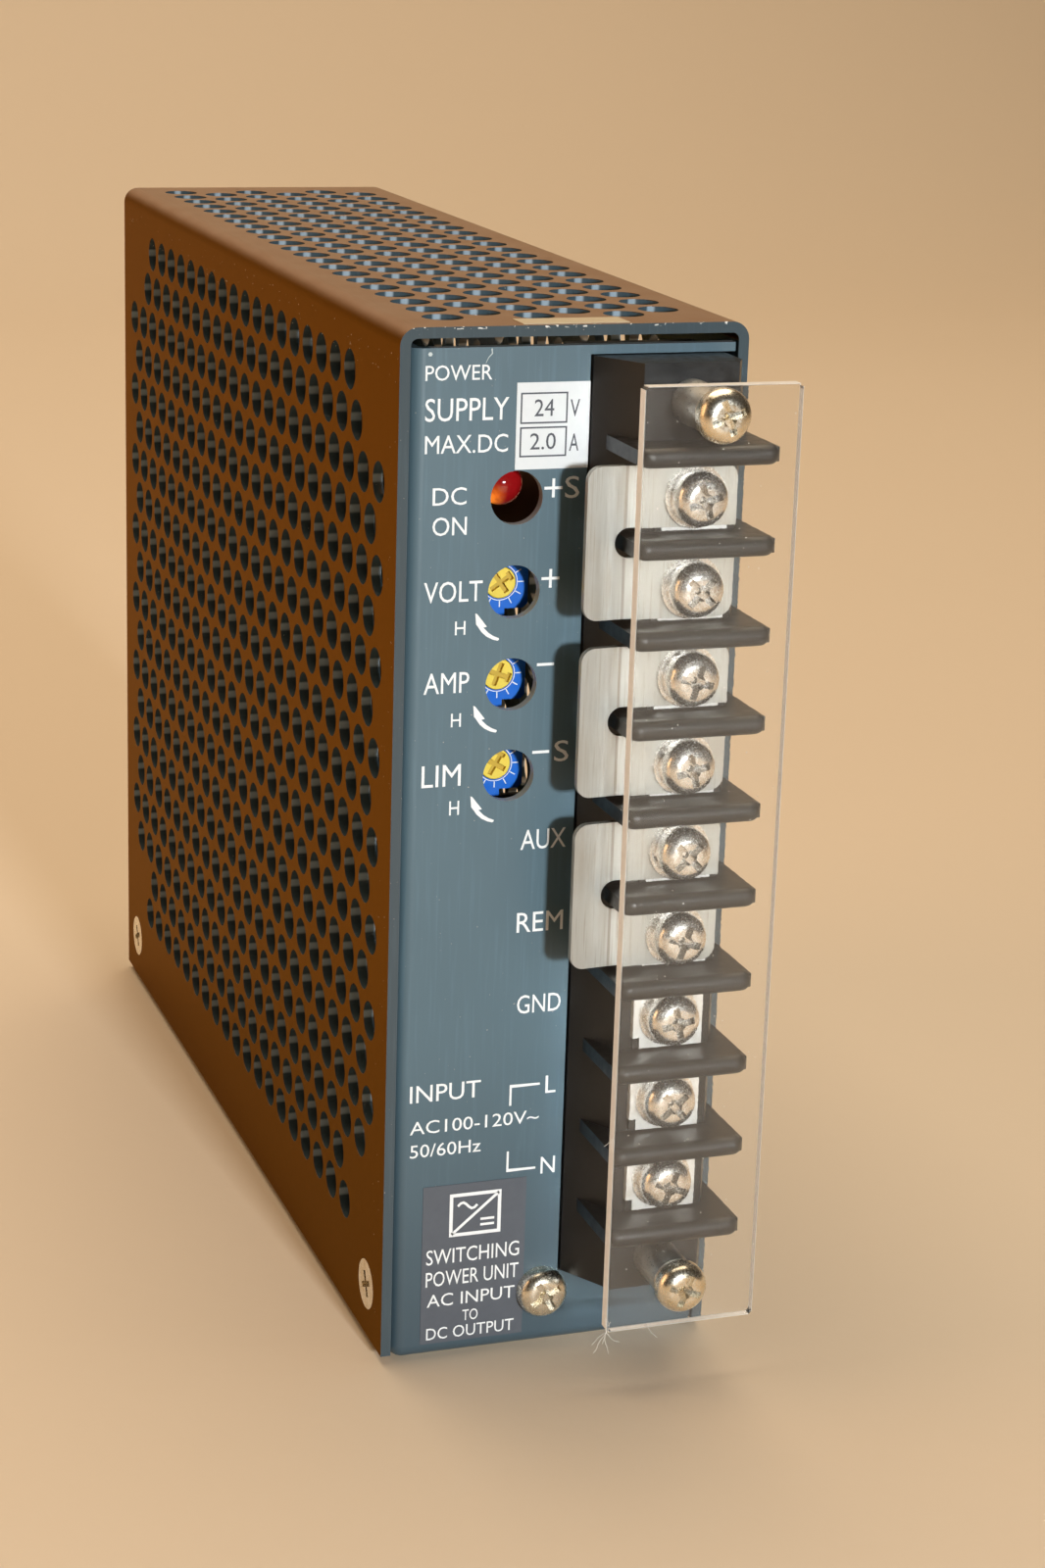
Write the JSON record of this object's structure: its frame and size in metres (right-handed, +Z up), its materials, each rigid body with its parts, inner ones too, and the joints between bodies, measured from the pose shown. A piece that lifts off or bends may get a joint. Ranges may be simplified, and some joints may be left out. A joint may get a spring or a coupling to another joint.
{
  "type": "din rail power supply",
  "caption": "Slim enclosed power supply: perforated steel cover, slate front panel, screw terminal block behind a clear cover, trimmers, indicator and rear rail clip.",
  "frame": {"origin": "centre of the underside of the chassis base", "axes": "+X across the width, to the right of a person facing the front panel; +Y from the front panel to the rear; +Z up"},
  "size_m": [0.0403, 0.1644, 0.121],
  "materials": {
    "cover_paint": "semi-gloss dark bronze-grey paint on perforated steel sheet",
    "chassis_paint": "satin slate blue-grey paint on steel sheet",
    "block_plastic": "moulded black thermoset, slightly glossy",
    "nickel_plate": "bright nickel-plated brass and steel",
    "gold_zinc": "yellow chromated zinc on steel",
    "clear_acrylic": "clear acrylic sheet, polished, saw-cut edges",
    "board_laminate": "green solder mask on glass-epoxy laminate",
    "film": "black insulating film",
    "led_lens": "tinted clear red epoxy",
    "trimmer_blue": "blue moulded thermoplastic",
    "rotor_yellow": "yellow moulded rotor",
    "fuse_glass": "clear glass tube with plated end caps",
    "ferrite": "sintered grey-black ferrite",
    "copper_wire": "enamelled copper wire",
    "film_capacitor": "yellow plastic box",
    "black_epoxy": "black moulded epoxy",
    "capacitor_sleeve": "dark blue shrink sleeve on an aluminium can",
    "aluminium": "plain extruded aluminium",
    "coil_tape": "yellow polyester tape over the winding",
    "clip_plastic": "black moulded polyamide",
    "spring_steel": "spring steel wire"
  },
  "bodies": {
    "root": {"perforated_cover": "cover_paint", "chassis": "chassis_paint", "terminal_block": "block_plastic", "terminal_seats": "nickel_plate", "cover_standoffs": "nickel_plate", "panel_screw": "gold_zinc", "side_screws": "gold_zinc", "circuit_board": "board_laminate", "board_spacers": "nickel_plate", "board_screws": "nickel_plate", "insulating_sheet": "film", "indicator_led": "led_lens", "trimmer_bodies": "trimmer_blue", "fuse": "fuse_glass", "fuse_clips": "nickel_plate", "choke_core": "ferrite", "choke_winding": "copper_wire", "line_capacitor": "film_capacitor", "bridge_rectifier": "black_epoxy", "bulk_capacitors": "capacitor_sleeve", "switch_transistor": "black_epoxy", "primary_heatsink": "aluminium", "transformer_core": "ferrite", "transformer_coil": "coil_tape", "output_diode": "black_epoxy", "secondary_heatsink": "aluminium", "output_choke": "copper_wire", "output_capacitors": "capacitor_sleeve", "small_parts": "film_capacitor", "rail_bracket": "clip_plastic", "latch_spring": "spring_steel", "bracket_screws": "gold_zinc", "jumper_1": "nickel_plate", "jumper_2": "nickel_plate", "jumper_3": "nickel_plate"},
    "clear_cover": {"clear_cover": "clear_acrylic"},
    "cover_screw_top": {"clear_cover_screw_top": "gold_zinc"},
    "cover_screw_bottom": {"clear_cover_screw_bottom": "gold_zinc"},
    "rail_latch": {"rail_latch": "clip_plastic"},
    "washers_1": {"terminal_washers_1": "nickel_plate"},
    "screw_1": {"terminal_screw_1": "nickel_plate"},
    "washers_2": {"terminal_washers_2": "nickel_plate"},
    "screw_2": {"terminal_screw_2": "nickel_plate"},
    "washers_3": {"terminal_washers_3": "nickel_plate"},
    "screw_3": {"terminal_screw_3": "nickel_plate"},
    "washers_4": {"terminal_washers_4": "nickel_plate"},
    "screw_4": {"terminal_screw_4": "nickel_plate"},
    "washers_5": {"terminal_washers_5": "nickel_plate"},
    "screw_5": {"terminal_screw_5": "nickel_plate"},
    "washers_6": {"terminal_washers_6": "nickel_plate"},
    "screw_6": {"terminal_screw_6": "nickel_plate"},
    "washers_7": {"terminal_washers_7": "nickel_plate"},
    "screw_7": {"terminal_screw_7": "nickel_plate"},
    "washers_8": {"terminal_washers_8": "nickel_plate"},
    "screw_8": {"terminal_screw_8": "nickel_plate"},
    "washers_9": {"terminal_washers_9": "nickel_plate"},
    "screw_9": {"terminal_screw_9": "nickel_plate"},
    "rotor_1": {"trimmer_rotor_1": "rotor_yellow"},
    "rotor_2": {"trimmer_rotor_2": "rotor_yellow"},
    "rotor_3": {"trimmer_rotor_3": "rotor_yellow"}
  },
  "joints": [
    {"name": "washer_lift_1", "type": "slide", "parent": "root", "child": "washers_1", "axis": [0, -1, 0], "range_m": [0, 0.0015]},
    {"name": "screw_turn_1", "type": "hinge", "parent": "washers_1", "child": "screw_1", "pos_m": [0.011, -0.078, 0.1035], "axis": [0, -1, 0], "range_deg": [0, 1080]},
    {"name": "washer_lift_2", "type": "slide", "parent": "root", "child": "washers_2", "axis": [0, -1, 0], "range_m": [0, 0.0015]},
    {"name": "screw_turn_2", "type": "hinge", "parent": "washers_2", "child": "screw_2", "pos_m": [0.011, -0.078, 0.0935], "axis": [0, -1, 0], "range_deg": [0, 1080]},
    {"name": "washer_lift_3", "type": "slide", "parent": "root", "child": "washers_3", "axis": [0, -1, 0], "range_m": [0, 0.0015]},
    {"name": "screw_turn_3", "type": "hinge", "parent": "washers_3", "child": "screw_3", "pos_m": [0.011, -0.078, 0.0835], "axis": [0, -1, 0], "range_deg": [0, 1080]},
    {"name": "washer_lift_4", "type": "slide", "parent": "root", "child": "washers_4", "axis": [0, -1, 0], "range_m": [0, 0.0015]},
    {"name": "screw_turn_4", "type": "hinge", "parent": "washers_4", "child": "screw_4", "pos_m": [0.011, -0.078, 0.0735], "axis": [0, -1, 0], "range_deg": [0, 1080]},
    {"name": "washer_lift_5", "type": "slide", "parent": "root", "child": "washers_5", "axis": [0, -1, 0], "range_m": [0, 0.0015]},
    {"name": "screw_turn_5", "type": "hinge", "parent": "washers_5", "child": "screw_5", "pos_m": [0.011, -0.078, 0.0635], "axis": [0, -1, 0], "range_deg": [0, 1080]},
    {"name": "washer_lift_6", "type": "slide", "parent": "root", "child": "washers_6", "axis": [0, -1, 0], "range_m": [0, 0.0015]},
    {"name": "screw_turn_6", "type": "hinge", "parent": "washers_6", "child": "screw_6", "pos_m": [0.011, -0.078, 0.0535], "axis": [0, -1, 0], "range_deg": [0, 1080]},
    {"name": "washer_lift_7", "type": "slide", "parent": "root", "child": "washers_7", "axis": [0, -1, 0], "range_m": [0, 0.0015]},
    {"name": "screw_turn_7", "type": "hinge", "parent": "washers_7", "child": "screw_7", "pos_m": [0.011, -0.078, 0.0435], "axis": [0, -1, 0], "range_deg": [0, 1080]},
    {"name": "washer_lift_8", "type": "slide", "parent": "root", "child": "washers_8", "axis": [0, -1, 0], "range_m": [0, 0.0015]},
    {"name": "screw_turn_8", "type": "hinge", "parent": "washers_8", "child": "screw_8", "pos_m": [0.011, -0.078, 0.0335], "axis": [0, -1, 0], "range_deg": [0, 1080]},
    {"name": "washer_lift_9", "type": "slide", "parent": "root", "child": "washers_9", "axis": [0, -1, 0], "range_m": [0, 0.0015]},
    {"name": "screw_turn_9", "type": "hinge", "parent": "washers_9", "child": "screw_9", "pos_m": [0.011, -0.078, 0.0235], "axis": [0, -1, 0], "range_deg": [0, 1080]},
    {"name": "trimmer_turn_1", "type": "hinge", "parent": "root", "child": "rotor_1", "pos_m": [-0.0063, -0.0649, 0.0917], "axis": [0, -1, 0], "range_deg": [-130, 130]},
    {"name": "trimmer_turn_2", "type": "hinge", "parent": "root", "child": "rotor_2", "pos_m": [-0.0063, -0.0649, 0.0812], "axis": [0, -1, 0], "range_deg": [-130, 130]},
    {"name": "trimmer_turn_3", "type": "hinge", "parent": "root", "child": "rotor_3", "pos_m": [-0.0063, -0.0649, 0.0707], "axis": [0, -1, 0], "range_deg": [-130, 130]},
    {"name": "clear_cover_off", "type": "slide", "parent": "root", "child": "clear_cover", "axis": [0, -1, 0], "range_m": [0, 0.025]},
    {"name": "cover_screw_turn_top", "type": "hinge", "parent": "clear_cover", "child": "cover_screw_top", "pos_m": [0.011, -0.0845, 0.1134], "axis": [0, -1, 0], "range_deg": [0, 1080]},
    {"name": "cover_screw_turn_bottom", "type": "hinge", "parent": "clear_cover", "child": "cover_screw_bottom", "pos_m": [0.011, -0.0845, 0.0132], "axis": [0, -1, 0], "range_deg": [0, 1080]},
    {"name": "latch_pull", "type": "slide", "parent": "root", "child": "rail_latch", "axis": [0, 0, -1], "range_m": [0, 0.004], "stiffness_N_per_m": 1500, "springref_m": -0.003, "deforming": ["latch_spring"]}
  ],
  "couplings": [
    {"joint": "screw_turn_1", "follows": "washer_lift_1", "rad_per_m": 12566},
    {"joint": "screw_turn_2", "follows": "washer_lift_2", "rad_per_m": 12566},
    {"joint": "screw_turn_3", "follows": "washer_lift_3", "rad_per_m": 12566},
    {"joint": "screw_turn_4", "follows": "washer_lift_4", "rad_per_m": 12566},
    {"joint": "screw_turn_5", "follows": "washer_lift_5", "rad_per_m": 12566},
    {"joint": "screw_turn_6", "follows": "washer_lift_6", "rad_per_m": 12566},
    {"joint": "screw_turn_7", "follows": "washer_lift_7", "rad_per_m": 12566},
    {"joint": "screw_turn_8", "follows": "washer_lift_8", "rad_per_m": 12566},
    {"joint": "screw_turn_9", "follows": "washer_lift_9", "rad_per_m": 12566}
  ]
}
